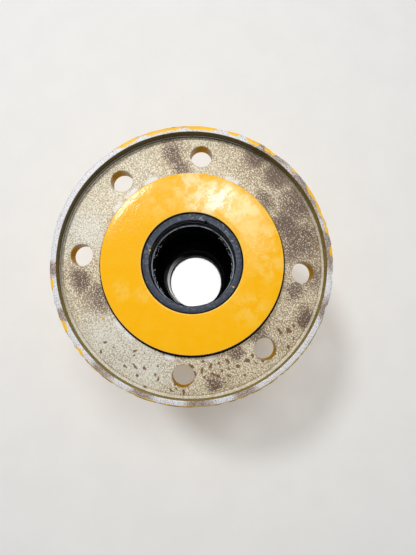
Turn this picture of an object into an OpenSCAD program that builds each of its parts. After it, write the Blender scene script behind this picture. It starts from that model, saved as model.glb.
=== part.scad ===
// Track roller: a flanged rim that turns on a hollow fixed axle.
// The roller axis is Z, the origin is the middle of the roller, and the bolt flange faces +Z.
// Radii build outwards from the pin bore, and depths are measured inwards from the rim's end faces.

/* [Rim] */
// Width of the rim over its two lips
rim_w = 262; // [200:1:340]
// Depth of the recess inside each flange lip
recess_depth = 10; // [4:0.5:14]
// Thickness of each flange behind its recess
flange_t = 15; // [10:0.5:24]
// Radial width of the raised lip around each flange
lip_w = 6; // [3:0.5:12]
// Metal between the collar bore and the tread
tread_wall = 4; // [3:0.5:12]
// How far the plain flange stands above the tread
plain_flange_h = 25; // [15:1:40]
// Metal around the bushes at the waist
waist_wall = 12; // [8:0.5:16]
// Width of the waist between the two treads
waist_w = 60; // [40:1:90]
// Length of each cone from tread to waist
shoulder_len = 12; // [6:0.5:20]

/* [Bolt holes] */
// Diameter of the flange's bolt holes
hole_d = 20; // [12:0.5:26]
// Angle between neighbouring holes of a row of three
hole_pitch = 45; // [35:1:50]
// Metal between the tread's surface and the holes
hole_land = 2.5; // [2.2:0.1:6]
// Metal between the holes and the lip
lip_land = 9; // [4:0.5:16]

/* [Axle] */
// Diameter of the bore for the machine's pin
pin_d = 76; // [50:1:95]
// Wall of the pin bushes and dust seals
pin_bush_wall = 7; // [4:0.5:12]
// Wall of the axle tube around its bushes
tube_wall = 9; // [6.5:0.5:14]
// Wall of the axle tube in the middle
mid_wall = 14; // [9:0.5:18]
// Length of each pin bush
pin_bush_len = 39; // [20:1:45]
// Length of each dust seal
dust_seal_len = 25; // [16:1:30]
// How far each dust seal lies below its collar's face
dust_seal_drop = 3; // [1:0.5:5]
// Width of the thrust collar in the middle of the axle
thrust_w = 30; // [16:1:44]

/* [End collars] */
// How far each collar stands out of the rim
collar_proud = 1; // [0.5:0.5:6]
// Thickness of a collar's end plate
plate_t = 10; // [8:0.5:14]
// How far the axle tube enters the end plate
tube_entry = 2; // [1:0.5:3]
// Wall of the sleeve on the axle tube
sleeve_wall = 6; // [4:0.5:10]
// Length of the sleeve behind the end plate
sleeve_len = 18; // [15:0.5:18]
// Wall of the skirt around the seal
skirt_wall = 5.5; // [3.5:0.5:9]
// How far the skirt reaches past the rubber toric that it holds
skirt_lap = 1; // [0.5:0.5:2]
// Open gap between collar and rim
rim_gap = 3; // [1:0.5:5]

/* [Seals and bushes] */
// Wall of the roller bushes
roller_bush_wall = 6; // [3:0.5:10]
// Length of a seal ring's tail
seal_tail = 12; // [11:0.5:16]
// Wall of a seal ring's tail
seal_wall = 5; // [3:0.5:8]
// Thickness of a seal ring's flange
seal_flange_t = 4; // [3:0.5:6]
// Radial room for a rubber toric on a seal ring's tail
toric_room = 8; // [6:0.5:10]
// Section of the collar's O-ring before it is squeezed
o_ring_d = 3; // [2.5:0.1:4]
// Section of the square lock ring between collar and tube
lock_ring_w = 3; // [2:0.5:4]

/* [Oil plug] */
// Thread diameter of the oil plug
plug_d = 14; // [8:0.5:14]
// Diameter of the oil plug's head
plug_head_d = 17; // [13:0.5:18]
// Size of the oil plug's hexagon socket across its corners
plug_hex = 8; // [5:0.5:9]

/* [Clearances] */
// Radial running clearance of the roller bushes on the axle
run_clear = 0.08; // [0.04:0.01:0.1]
// Gap between the two seal rings' faces
face_gap = 0.3; // [0.2:0.05:0.5]
// Gap on each side of the thrust collar
thrust_gap = 0.3; // [0.2:0.05:0.6]
// Radial clearance of the thrust collar in the bush seats
thrust_clear = 0.6; // [0.4:0.1:1.5]
// Free room around and behind the seal rings
seal_room = 2; // [1.5:0.5:3]
// How much each toric is squeezed, on the radius of its section
toric_squeeze = 0.4; // [0.2:0.1:0.8]
// How much each collar O-ring is squeezed
o_ring_squeeze = 0.4; // [0.2:0.1:0.6]
// Clearance around and over the oil plug's head
plug_clear = 0.6; // [0.3:0.1:1]

/* [Hidden] */
$fn = 96;

paint_yellow = [0.96, 0.68, 0.02];
bare_steel = [0.72, 0.69, 0.62];
dark_steel = [0.3, 0.31, 0.34];
ground_steel = [0.62, 0.63, 0.65];
bronze = [0.72, 0.5, 0.22];
rubber = [0.09, 0.09, 0.1];
seal_grey = [0.3, 0.33, 0.38];
copper = [0.75, 0.42, 0.25];

// Small features
edge = 1;
oil_room = 3;
groove_land = 3;
lip_chamfer = 2;
root_fillet = 2;
relief_w = 1.2;
relief_depth = 0.5;
relief_inset = 2;
weld_w = 14;
weld_h = 1.4;
lock_ring_slot = 8;
oil_groove_r = 2.5;
seal_groove_w = 4;
seal_groove_depth = 2;
mid_groove_w = 10;
mid_groove_depth = 2.5;
plug_head_t = 3;
washer_t = 1.2;
socket_depth = 5.5;

// Radii, from the pin bore outwards
pin_r = pin_d / 2;
seat_r = pin_r + pin_bush_wall;
tube_r = seat_r + tube_wall;
mid_bore_r = tube_r - mid_wall;
sleeve_r = tube_r + sleeve_wall;
bush_seat_r = tube_r + roller_bush_wall;
seal_in_r = sleeve_r + seal_room;
seal_tail_r = seal_in_r + seal_wall;
toric_seat_r = seal_tail_r + toric_room;
seal_flange_r = toric_seat_r - seal_room / 2;
seal_bore_r = toric_seat_r + seal_room;
collar_r = toric_seat_r + skirt_wall;
collar_bore_r = collar_r + rim_gap;
tread_r = collar_bore_r + tread_wall;
hole_circle_r = tread_r + hole_land + hole_d / 2;
lip_r = hole_circle_r + hole_d / 2 + lip_land;
bolt_flange_r = lip_r + lip_w;
plain_flange_r = tread_r + plain_flange_h;
waist_r = bush_seat_r + waist_wall;
thrust_r = bush_seat_r - thrust_clear;
oil_room_r = bush_seat_r + oil_room;

// Heights above the middle of the roller
rim_half = rim_w / 2;
floor_z = rim_half - recess_depth;
flange_back_z = floor_z - flange_t;
collar_z = rim_half + collar_proud;
plate_z = collar_z - plate_t;
tube_z = plate_z + tube_entry;
seal_start_z = plate_z - seal_room;
toric_r = toric_room / 2 + toric_squeeze;
toric_z = seal_start_z - toric_r;
skirt_z = toric_z - toric_r - skirt_lap;
sleeve_z = plate_z - sleeve_len;
collar_bore_z = skirt_z - seal_room;
fixed_face_z = seal_start_z - seal_tail - seal_flange_t;
turning_face_z = fixed_face_z - face_gap;
turning_end_z = turning_face_z - seal_tail - seal_flange_t;
seal_floor_z = turning_end_z - seal_room;
thrust_half = thrust_w / 2;
bush_end_z = thrust_half + thrust_gap;
dust_seal_z = collar_z - dust_seal_drop;
pin_bush_z = dust_seal_z - dust_seal_len;
counterbore_z = pin_bush_z - pin_bush_len;

// Grooves in the tube, and the oil plug's seat
o_ring_groove = o_ring_d - o_ring_squeeze;
o_ring_groove_w = o_ring_d + edge;
o_ring_z = plate_z - groove_land - o_ring_groove_w / 2;
lock_ring_z = o_ring_z - groove_land - (o_ring_groove_w + lock_ring_w) / 2;
plug_circle_r = (sleeve_r + toric_seat_r) / 2;
spot_depth = plug_head_t + washer_t + plug_clear / 2;
spot_r = plug_head_d / 2 + plug_clear;

// Angles of the six holes: a row of three on each side of the X axis
hole_angles = [for (side = [0, 180]) for (step = [-1:1]) side + step * hole_pitch];

// Solid ring with the section given as [radius, height] points
module turned(points) {
    rotate_extrude() polygon(points);
}

// A piece of the +Z end, or its mirror image at the -Z end
module at_end(side) {
    if (side > 0) children();
    else mirror([0, 0, 1]) children();
}

// Half of the rim's section, from the middle outwards over the flange and back along the bores
function rim_section(flange_r) = [
    [waist_r, waist_w / 2],
    [tread_r - edge, waist_w / 2 + shoulder_len],
    [tread_r, waist_w / 2 + shoulder_len + edge],
    [tread_r, flange_back_z],
    [flange_r - lip_chamfer, flange_back_z],
    [flange_r, flange_back_z + lip_chamfer],
    [flange_r, rim_half - lip_chamfer],
    [flange_r - lip_chamfer, rim_half],
    [flange_r - lip_w + edge / 2, rim_half],
    [flange_r - lip_w, rim_half - edge / 2],
    [flange_r - lip_w, floor_z],
    [flange_r - lip_w - relief_inset, floor_z],
    [flange_r - lip_w - relief_inset, floor_z - relief_depth],
    [flange_r - lip_w - relief_inset - relief_w, floor_z - relief_depth],
    [flange_r - lip_w - relief_inset - relief_w, floor_z],
    [collar_bore_r + edge / 2, floor_z],
    [collar_bore_r, floor_z - edge / 2],
    [collar_bore_r, collar_bore_z],
    [seal_bore_r, collar_bore_z],
    [seal_bore_r, turning_face_z - seal_flange_t],
    [toric_seat_r, turning_face_z - seal_flange_t - seal_room],
    [toric_seat_r, seal_floor_z],
    [bush_seat_r + edge, seal_floor_z],
    [bush_seat_r, seal_floor_z - edge],
    [bush_seat_r, bush_end_z],
    [oil_room_r, bush_end_z - oil_room]
];

// The same outline at the other end, in the order that closes the whole section
function mirrored(points) = [for (i = [len(points) - 1:-1:0]) [points[i].x, -points[i].y]];

// Fillet in the corner between a tread and the back of its flange
module root_fillet_section() {
    translate([tread_r, flange_back_z - root_fillet]) difference() {
        translate([-edge, 0]) square([root_fillet + edge, root_fillet + edge]);
        translate([root_fillet, 0]) circle(root_fillet);
    }
}

// Weld seam that joins the two forged halves
module weld_section() {
    bead_r = (weld_w * weld_w / 4 + weld_h * weld_h) / (2 * weld_h);
    intersection() {
        translate([waist_r + weld_h - bead_r, 0]) circle(bead_r);
        translate([waist_r - edge, -weld_w / 2]) square([weld_h + 2 * edge, weld_w]);
    }
}

module bolt_holes() {
    for (a = hole_angles) rotate([0, 0, a]) translate([hole_circle_r, 0, 0]) {
        translate([0, 0, flange_back_z - root_fillet - edge])
            cylinder(d = hole_d, h = flange_t + root_fillet + 2 * edge);
        translate([0, 0, floor_z - edge / 2])
            cylinder(r1 = hole_d / 2, r2 = hole_d / 2 + edge, h = edge);
    }
}

module roller_rim() {
    color(bare_steel) difference() {
        rotate_extrude() union() {
            polygon(concat(rim_section(bolt_flange_r), mirrored(rim_section(plain_flange_r))));
            weld_section();
            root_fillet_section();
            mirror([0, 1]) root_fillet_section();
        }
        bolt_holes();
    }
}

// Tube that stands still inside the rim, with a counterbore at each end
module axle_tube() {
    half = [
        [thrust_r, thrust_half - edge],
        [thrust_r - edge, thrust_half],
        [tube_r, thrust_half],
        [tube_r, lock_ring_z - lock_ring_w / 2],
        [tube_r - lock_ring_w / 2, lock_ring_z - lock_ring_w / 2],
        [tube_r - lock_ring_w / 2, lock_ring_z + lock_ring_w / 2],
        [tube_r, lock_ring_z + lock_ring_w / 2],
        [tube_r, o_ring_z - o_ring_groove_w / 2],
        [tube_r - o_ring_groove, o_ring_z - o_ring_groove_w / 2],
        [tube_r - o_ring_groove, o_ring_z + o_ring_groove_w / 2],
        [tube_r, o_ring_z + o_ring_groove_w / 2],
        [tube_r, tube_z - edge],
        [tube_r - edge, tube_z],
        [seat_r, tube_z],
        [seat_r, counterbore_z],
        [mid_bore_r + edge, counterbore_z],
        [mid_bore_r, counterbore_z - edge],
        [mid_bore_r, mid_groove_w / 2],
        [mid_bore_r + mid_groove_depth, mid_groove_w / 2]
    ];
    color(dark_steel) turned(concat(half, mirrored(half)));
}

// Yellow cap that seats on the end of the tube and holds the fixed seal ring in its skirt
module end_collar(side) {
    color(paint_yellow) at_end(side) turned([
        [seat_r + edge, collar_z],
        [collar_r - edge, collar_z],
        [collar_r, collar_z - edge],
        [collar_r, skirt_z],
        [toric_seat_r, skirt_z],
        [toric_seat_r, plate_z],
        [sleeve_r, plate_z],
        [sleeve_r, sleeve_z],
        [tube_r, sleeve_z],
        [tube_r, lock_ring_z - lock_ring_w / 2],
        [tube_r + lock_ring_w / 2, lock_ring_z - lock_ring_w / 2],
        [tube_r + lock_ring_w / 2, lock_ring_z + lock_ring_w / 2],
        [tube_r, lock_ring_z + lock_ring_w / 2],
        [tube_r, tube_z],
        [seat_r, tube_z],
        [seat_r, collar_z - edge]
    ]);
}

module end_collar_outer() {
    end_collar(1);
}

module end_collar_inner() {
    difference() {
        end_collar(-1);
        at_plug() {
            translate([0, 0, -spot_depth]) cylinder(r = spot_r, h = spot_depth + edge);
            translate([0, 0, -plate_t - edge]) cylinder(d = plug_d, h = plate_t + edge);
        }
    }
}

// Rubber ring of the given section radius, squeezed flat between two radii
module squeezed_ring(section_r, in_r, out_r, z) {
    rotate_extrude() intersection() {
        translate([(in_r + out_r) / 2, z]) circle(section_r);
        translate([in_r, z - section_r]) square([out_r - in_r, 2 * section_r]);
    }
}

module collar_o_ring(side) {
    color(rubber) at_end(side) squeezed_ring(o_ring_d / 2, tube_r - o_ring_groove, tube_r, o_ring_z);
}

// Square snap ring, half in the tube's groove and half in the collar's
module collar_lock_ring(side) {
    ring_in = tube_r - lock_ring_w / 2;
    color(ground_steel) at_end(side) difference() {
        turned([
            [ring_in, lock_ring_z - lock_ring_w / 2],
            [ring_in + lock_ring_w, lock_ring_z - lock_ring_w / 2],
            [ring_in + lock_ring_w, lock_ring_z + lock_ring_w / 2],
            [ring_in, lock_ring_z + lock_ring_w / 2]
        ]);
        translate([0, -lock_ring_slot / 2, lock_ring_z - lock_ring_w])
            cube([2 * tube_r, lock_ring_slot, 2 * lock_ring_w]);
    }
}

// Scraper ring with two grooves in its bore
module dust_seal(side) {
    groove_z = [for (i = [1, 2]) dust_seal_z - dust_seal_len * i / 3 + seal_groove_w / 2];
    grooves = [for (z = groove_z) for (p = [[0, 0], [1, 0], [1, -1], [0, -1]])
        [pin_r + p.x * seal_groove_depth, z + p.y * seal_groove_w]];
    color(seal_grey) at_end(side) turned(concat([
        [pin_r, pin_bush_z],
        [seat_r, pin_bush_z],
        [seat_r, dust_seal_z - edge / 2],
        [seat_r - edge / 2, dust_seal_z],
        [pin_r + edge, dust_seal_z],
        [pin_r, dust_seal_z - edge]
    ], grooves));
}

// Bush that the machine's pin runs in, with a grease groove
module pin_bush(side) {
    groove_z = (pin_bush_z + counterbore_z) / 2;
    color(bronze) at_end(side) turned([
        [pin_r + edge, pin_bush_z],
        [seat_r, pin_bush_z],
        [seat_r, counterbore_z],
        [pin_r + edge, counterbore_z],
        [pin_r, counterbore_z + edge],
        [pin_r, groove_z - seal_groove_w / 2],
        [pin_r + seal_groove_depth, groove_z - seal_groove_w / 2],
        [pin_r + seal_groove_depth, groove_z + seal_groove_w / 2],
        [pin_r, groove_z + seal_groove_w / 2],
        [pin_r, pin_bush_z - edge]
    ]);
}

// One ring of a floating face seal, with its sealing face at face_z and its tail towards tail_dir
module seal_ring(face_z, tail_dir) {
    flange_z = face_z + tail_dir * seal_flange_t;
    end_z = flange_z + tail_dir * seal_tail;
    color(ground_steel) turned([
        [seal_in_r, face_z],
        [seal_flange_r, face_z],
        [seal_flange_r, flange_z],
        [seal_tail_r, flange_z],
        [seal_tail_r, end_z - tail_dir * edge],
        [seal_tail_r - edge, end_z],
        [seal_in_r, end_z]
    ]);
}

module fixed_seal_ring(side) {
    at_end(side) seal_ring(fixed_face_z, 1);
}

module turning_seal_ring(side) {
    at_end(side) seal_ring(turning_face_z, -1);
}

module fixed_seal_toric(side) {
    color(rubber) at_end(side) squeezed_ring(toric_r, seal_tail_r, toric_seat_r, toric_z);
}

module turning_seal_toric(side) {
    mirror_z = fixed_face_z + turning_face_z - toric_z;
    color(rubber) at_end(side) squeezed_ring(toric_r, seal_tail_r, toric_seat_r, mirror_z);
}

// Bronze bush pressed into the rim, with two oil grooves along its bore
module roller_bush(side) {
    color(bronze) at_end(side) difference() {
        turned([
            [tube_r + run_clear, bush_end_z],
            [bush_seat_r, bush_end_z],
            [bush_seat_r, seal_floor_z - edge],
            [bush_seat_r - edge, seal_floor_z],
            [tube_r + run_clear, seal_floor_z]
        ]);
        for (a = [0, 180]) rotate([0, 0, a]) translate([tube_r, 0, bush_end_z - edge])
            cylinder(r = oil_groove_r, h = seal_floor_z - bush_end_z + 2 * edge);
    }
}

// Places the oil plug's pieces on the inner collar, with +Z pointing out of its face
module at_plug() {
    translate([0, plug_circle_r, -collar_z]) rotate([180, 0, 0]) children();
}

module oil_plug() {
    head_z = -spot_depth + washer_t;
    color(ground_steel) at_plug() difference() {
        union() {
            translate([0, 0, head_z]) cylinder(d = plug_head_d, h = plug_head_t);
            translate([0, 0, -plate_t + edge]) cylinder(d = plug_d, h = head_z + plate_t - edge);
        }
        translate([0, 0, head_z + plug_head_t - socket_depth])
            cylinder(d = plug_hex, h = socket_depth + edge, $fn = 6);
    }
}

module plug_washer() {
    color(copper) at_plug() translate([0, 0, -spot_depth]) difference() {
        cylinder(d = plug_head_d, h = washer_t);
        translate([0, 0, -edge]) cylinder(d = plug_d, h = washer_t + 2 * edge);
    }
}

axle_tube();
end_collar_outer();
end_collar_inner();
collar_o_ring(1);  // collar_o_ring_outer
collar_o_ring(-1);  // collar_o_ring_inner
collar_lock_ring(1);  // collar_lock_ring_outer
collar_lock_ring(-1);  // collar_lock_ring_inner
dust_seal(1);  // dust_seal_outer
dust_seal(-1);  // dust_seal_inner
pin_bush(1);  // pin_bush_outer
pin_bush(-1);  // pin_bush_inner
fixed_seal_ring(1);  // fixed_seal_ring_outer
fixed_seal_ring(-1);  // fixed_seal_ring_inner
fixed_seal_toric(1);  // fixed_seal_toric_outer
fixed_seal_toric(-1);  // fixed_seal_toric_inner
oil_plug();
plug_washer();
roller_rim();
roller_bush(1);  // roller_bush_outer
roller_bush(-1);  // roller_bush_inner
turning_seal_ring(1);  // turning_seal_ring_outer
turning_seal_ring(-1);  // turning_seal_ring_inner
turning_seal_toric(1);  // turning_seal_toric_outer
turning_seal_toric(-1);  // turning_seal_toric_inner
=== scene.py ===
# Track roller: turned detail, paint, bare steel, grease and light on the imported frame.
import math

import bmesh
import bpy
from mathutils import Matrix, Vector, noise


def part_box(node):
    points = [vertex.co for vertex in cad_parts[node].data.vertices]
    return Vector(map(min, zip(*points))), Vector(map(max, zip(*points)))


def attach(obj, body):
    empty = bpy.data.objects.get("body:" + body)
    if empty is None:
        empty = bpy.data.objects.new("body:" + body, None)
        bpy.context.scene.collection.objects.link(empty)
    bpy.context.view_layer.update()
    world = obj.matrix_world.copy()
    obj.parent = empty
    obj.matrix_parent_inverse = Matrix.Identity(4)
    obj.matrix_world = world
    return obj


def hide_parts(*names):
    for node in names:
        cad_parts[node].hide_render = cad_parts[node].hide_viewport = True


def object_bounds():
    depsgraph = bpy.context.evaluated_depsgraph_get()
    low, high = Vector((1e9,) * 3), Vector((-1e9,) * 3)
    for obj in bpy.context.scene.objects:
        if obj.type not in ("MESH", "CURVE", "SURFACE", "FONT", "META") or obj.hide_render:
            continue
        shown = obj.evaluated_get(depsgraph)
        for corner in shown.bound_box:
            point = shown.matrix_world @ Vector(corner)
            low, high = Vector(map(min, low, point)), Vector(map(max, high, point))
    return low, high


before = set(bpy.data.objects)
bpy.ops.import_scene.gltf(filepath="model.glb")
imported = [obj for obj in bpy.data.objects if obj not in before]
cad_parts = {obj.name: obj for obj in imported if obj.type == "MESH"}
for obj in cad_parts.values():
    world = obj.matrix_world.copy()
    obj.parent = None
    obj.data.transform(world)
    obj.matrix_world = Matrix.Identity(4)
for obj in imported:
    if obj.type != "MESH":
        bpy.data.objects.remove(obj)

cadLow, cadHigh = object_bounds()
mm = 0.001
scene = bpy.context.scene
scene.view_settings.view_transform = "Standard"
print("frame loaded:", len(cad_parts), "parts")

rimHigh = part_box("roller_rim")[1]
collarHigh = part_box("end_collar_outer")[1]
lipTop = rimHigh.z / mm          # plane of the bolt flange's lip, in mm like every size below
collarTop = collarHigh.z / mm


# Node helpers
class Finish:
    # One material and short calls that add wired nodes to it.
    def __init__(self, name):
        self.material = bpy.data.materials.new(name)
        self.material.use_nodes = True
        self.tree = self.material.node_tree
        self.shader = self.tree.nodes["Principled BSDF"]
        self.place = self.tree.nodes.new("ShaderNodeTexCoord").outputs["Object"]

    def add(self, kind, values=(), **settings):
        node = self.tree.nodes.new(kind)
        for key, value in settings.items():
            setattr(node, key, value)
        for socket, value in dict(values).items():
            self.feed(node.inputs[socket], value)
        return node

    def feed(self, socket, value):
        if isinstance(value, bpy.types.NodeSocket):
            self.tree.links.new(value, socket)
        else:
            socket.default_value = value

    def maths(self, how, a, b=0.0, c=0.0):
        return self.add("ShaderNodeMath", {0: a, 1: b, 2: c}, operation=how).outputs[0]

    def plus(self, a, b):
        return self.maths("ADD", a, b)

    def minus(self, a, b):
        return self.maths("SUBTRACT", a, b)

    def times(self, a, b):
        return self.maths("MULTIPLY", a, b)

    def onto(self, a, share, base):
        # A share of one value laid onto another
        return self.maths("MULTIPLY_ADD", a, share, base)

    def apart(self, a, b):
        return self.maths("ABSOLUTE", self.minus(a, b))

    def vector(self, how, a, b=(0.0, 0.0, 0.0)):
        return self.add("ShaderNodeVectorMath", {0: a, 1: b}, operation=how).outputs[0]

    def fade(self, value, low, high, to=(0.0, 1.0)):
        node = self.add("ShaderNodeMapRange", {0: value, 1: low, 2: high, 3: to[0], 4: to[1]})
        node.interpolation_type = "SMOOTHSTEP"
        return node.outputs[0]

    def fadeMm(self, value, low, high, to=(0.0, 1.0)):
        return self.fade(value, low * mm, high * mm, to)

    def within(self, value, low, full, last, high):
        # 1 from full to last and 0 beyond low and high, all in mm
        return self.times(self.fadeMm(value, low, full), self.fadeMm(value, last, high, (1.0, 0.0)))

    def mix(self, share, a, b):
        node = self.add("ShaderNodeMix", data_type="RGBA")
        self.feed(node.inputs[0], share)
        self.feed(node.inputs[6], a)
        self.feed(node.inputs[7], b)
        return node.outputs[2]

    def grain(self, size, detail=4.0, rough=0.55, at=None):
        values = {"Vector": at or self.place, "Scale": 1.0 / (size * mm), "Detail": detail, "Roughness": rough}
        return self.add("ShaderNodeTexNoise", values).outputs["Fac"]

    def cells(self, size, at=None):
        values = {"Vector": at or self.place, "Scale": 1.0 / (size * mm)}
        return self.add("ShaderNodeTexVoronoi", values).outputs["Distance"]

    def polar(self):
        xyz = self.add("ShaderNodeSeparateXYZ", {0: self.place}).outputs
        flat = self.add("ShaderNodeCombineXYZ", {0: xyz[0], 1: xyz[1]}).outputs[0]
        radius = self.add("ShaderNodeVectorMath", {0: flat}, operation="LENGTH").outputs["Value"]
        return xyz[0], xyz[1], xyz[2], radius

    def spot(self, angle, radius, reach, height, place=None):
        # 1 at a place on a face, still 1 at a quarter of its reach, and 0 from the reach outwards
        a = math.radians(angle)
        centre = (radius * mm * math.cos(a), radius * mm * math.sin(a), height * mm)
        gap = self.add("ShaderNodeVectorMath", {0: place or self.place, 1: centre}, operation="DISTANCE")
        return self.fadeMm(gap.outputs["Value"], 0.25 * reach, reach, (1.0, 0.0))

    def bent(self, size, amount):
        # Object place pushed about by slow noise, so that a stain's edge wanders
        push = self.add("ShaderNodeTexNoise", {"Vector": self.place, "Scale": 1 / (size * mm), "Detail": 4.0})
        away = self.vector("SUBTRACT", push.outputs["Color"], (0.5, 0.5, 0.5))
        step = self.add("ShaderNodeVectorMath", {0: away, "Scale": amount * mm}, operation="SCALE")
        return self.vector("ADD", self.place, step.outputs[0])

    def marks(self, kind, height, place=None):
        return self.most([self.spot(*mark, height, place) for mark in flangeMarks[kind]])

    def most(self, values):
        total = values[0]
        for value in values[1:]:
            total = self.maths("MAXIMUM", total, value)
        return total

    def bump(self, height, strength, depth):
        values = {"Height": height, "Strength": strength, "Distance": depth * mm}
        return self.add("ShaderNodeBump", values).outputs["Normal"]

    def finish(self, **inputs):
        for name, value in inputs.items():
            self.feed(self.shader.inputs[name.replace("_", " ")], value)
        return self.material


def shade(red, green, blue):
    # Screen colour 0-255 to the linear values that a shader takes
    def channel(value):
        value = value / 255
        return value / 12.92 if value <= 0.04045 else ((value + 0.055) / 1.055) ** 2.4
    return (channel(red), channel(green), channel(blue), 1.0)


# Turning
roundSteps = 4
mostOfEdge = 0.48      # share of an edge that one rounding may take
leastRound = 0.02      # mm, under which a corner stays sharp
sharpAngle = 32        # degrees between faces, above which their edge is shaded sharp


def roundedOutline(corners, longest=0.0):
    # Closed outline in (radius, height) mm; each corner carries the size of its rounding
    points = []
    count = len(corners)
    for i, (radius, height, size) in enumerate(corners):
        here = Vector((radius, height))
        before = Vector(corners[i - 1][:2]) - here
        after = Vector(corners[(i + 1) % count][:2]) - here
        reach = min(size, before.length * mostOfEdge, after.length * mostOfEdge)
        if reach < leastRound:
            points.append(here)
            continue
        start, end = here + before.normalized() * reach, here + after.normalized() * reach
        for step in range(roundSteps + 1):
            t = step / roundSteps
            points.append((1 - t) ** 2 * start + 2 * t * (1 - t) * here + t ** 2 * end)
    if not longest:
        return points
    dense = []
    for i, point in enumerate(points):
        nextPoint = points[(i + 1) % len(points)]
        pieces = max(1, math.ceil((nextPoint - point).length / longest))
        dense += [point.lerp(nextPoint, k / pieces) for k in range(pieces)]
    return dense


def facing(corners, side):
    # An outline drawn for the bolt end, as it is for side 1 and mirrored for side -1
    ordered = corners if side > 0 else corners[::-1]
    return [(radius, side * height, size) for radius, height, size in ordered]


def turnedPiece(name, outline, segments, wear=None):
    # An outline turned round the Z axis; wear moves single points of it
    mesh = bpy.data.meshes.new(name)
    count = len(outline)
    places = []
    for s in range(segments):
        a = 2 * math.pi * s / segments
        for radius, height in outline:
            if wear:
                radius, height = wear(radius, height, a)
            places.append((radius * mm * math.cos(a), radius * mm * math.sin(a), height * mm))
    faces = []
    for s in range(segments):
        row, nextRow = s * count, (s + 1) % segments * count
        for i in range(count):
            j = (i + 1) % count
            faces.append((row + i, row + j, nextRow + j, nextRow + i))
    mesh.from_pydata(places, [], faces)
    return finishMesh(name, mesh)


def finishMesh(name, mesh):
    shape = bmesh.new()
    shape.from_mesh(mesh)
    bmesh.ops.remove_doubles(shape, verts=shape.verts, dist=1e-7)
    bmesh.ops.recalc_face_normals(shape, faces=shape.faces)
    shape.to_mesh(mesh)
    shape.free()
    for face in mesh.polygons:
        face.use_smooth = True
    mesh.set_sharp_from_angle(angle=math.radians(sharpAngle))
    piece = bpy.data.objects.new(name, mesh)
    scene.collection.objects.link(piece)
    return piece


def settle(piece, material, body, slot, *nodes):
    piece.data.materials.clear()
    piece.data.materials.append(material)
    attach(piece, body)
    if nodes:
        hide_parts(*nodes)


def refinish(node, material):
    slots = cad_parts[node].data.materials
    slots.clear()
    slots.append(material)


# Geometry-node helpers
def newTree(name, sizes):
    tree = bpy.data.node_groups.new(name, "GeometryNodeTree")
    tree.interface.new_socket("Geometry", in_out="INPUT", socket_type="NodeSocketGeometry")
    for label, value in sizes.items():
        kind = "NodeSocketInt" if isinstance(value, int) else "NodeSocketFloat"
        tree.interface.new_socket(label, in_out="INPUT", socket_type=kind).default_value = value
    tree.interface.new_socket("Finish", in_out="INPUT", socket_type="NodeSocketMaterial")
    tree.interface.new_socket("Geometry", in_out="OUTPUT", socket_type="NodeSocketGeometry")
    return tree, tree.nodes.new("NodeGroupInput"), tree.nodes.new("NodeGroupOutput")


def treeNode(tree, kind, values=(), **settings):
    node = tree.nodes.new(kind)
    for key, value in settings.items():
        setattr(node, key, value)
    for socket, value in dict(values).items():
        if isinstance(value, bpy.types.NodeSocket):
            tree.links.new(value, node.inputs[socket])
        else:
            node.inputs[socket].default_value = value
    return node


def closeTree(tree, ends, geometry, finish):
    realized = treeNode(tree, "GeometryNodeRealizeInstances", {0: geometry})
    painted = treeNode(tree, "GeometryNodeSetMaterial", {0: realized.outputs[0], "Material": finish})
    tree.links.new(painted.outputs[0], ends.inputs[0])


def runTree(piece, tree, sizes, finish):
    # Runs the tree once and keeps its result as a plain mesh
    modifier = piece.modifiers.new(tree.name, "NODES")
    modifier.node_group = tree
    for item in tree.interface.items_tree:
        if item.in_out == "INPUT" and item.name in sizes:
            modifier[item.identifier] = sizes[item.name]
        if item.in_out == "INPUT" and item.name == "Finish":
            modifier[item.identifier] = finish
    graph = bpy.context.evaluated_depsgraph_get()
    mesh = bpy.data.meshes.new_from_object(piece.evaluated_get(graph), depsgraph=graph)
    name = piece.name
    piece.modifiers.remove(modifier)
    bpy.data.objects.remove(piece)
    return finishMesh(name, mesh)


# Rim
rimSizes = {
    "flangeR": rimHigh.x / mm, "plainR": 112.5, "lipW": 6.0, "recess": 10.0, "flangeT": 15.0,
    "collarBoreR": 83.5, "collarBoreDepth": 22.8, "sealBoreR": 77.0, "sealBoreDepth": 31.3,
    "toricSeatR": 75.0, "toricSeatDepth": 33.3, "sealFloorDepth": 45.3, "bushSeatR": 60.0,
    "oilRoomR": 63.0, "bushEndZ": 15.3, "oilRoomStep": 3.0,
    "treadR": 87.5, "waistR": 72.0, "waistHalf": 30.0, "shoulder": 13.0,
    "relief": 0.6, "reliefAt": 2.4, "reliefHalf": 0.9, "segments": 300,
}
recessFloor = lipTop - rimSizes["recess"]
flangeBack = recessFloor - rimSizes["flangeT"]
boltRows = {
    "Hole Radius": 10.0, "Circle Radius": 100.0, "Pitch": 45.0, "Chamfer": 0.5,
    "Top": recessFloor, "Depth": 17.0,
}
# Depths of the knocks and of the uneven skin in mm; beaten makes them deeper towards one angle in radians
wearSizes = {
    "edgeReach": 3.0, "lipZone": 4.0, "least": 0.3, "dent": 1.2, "chip": 0.9,
    "beaten": 1.3, "beatenAt": 0.1, "forged": 0.35, "forgedRough": 0.45, "turned": 0.25, "turnedRough": 0.25,
}


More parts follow.
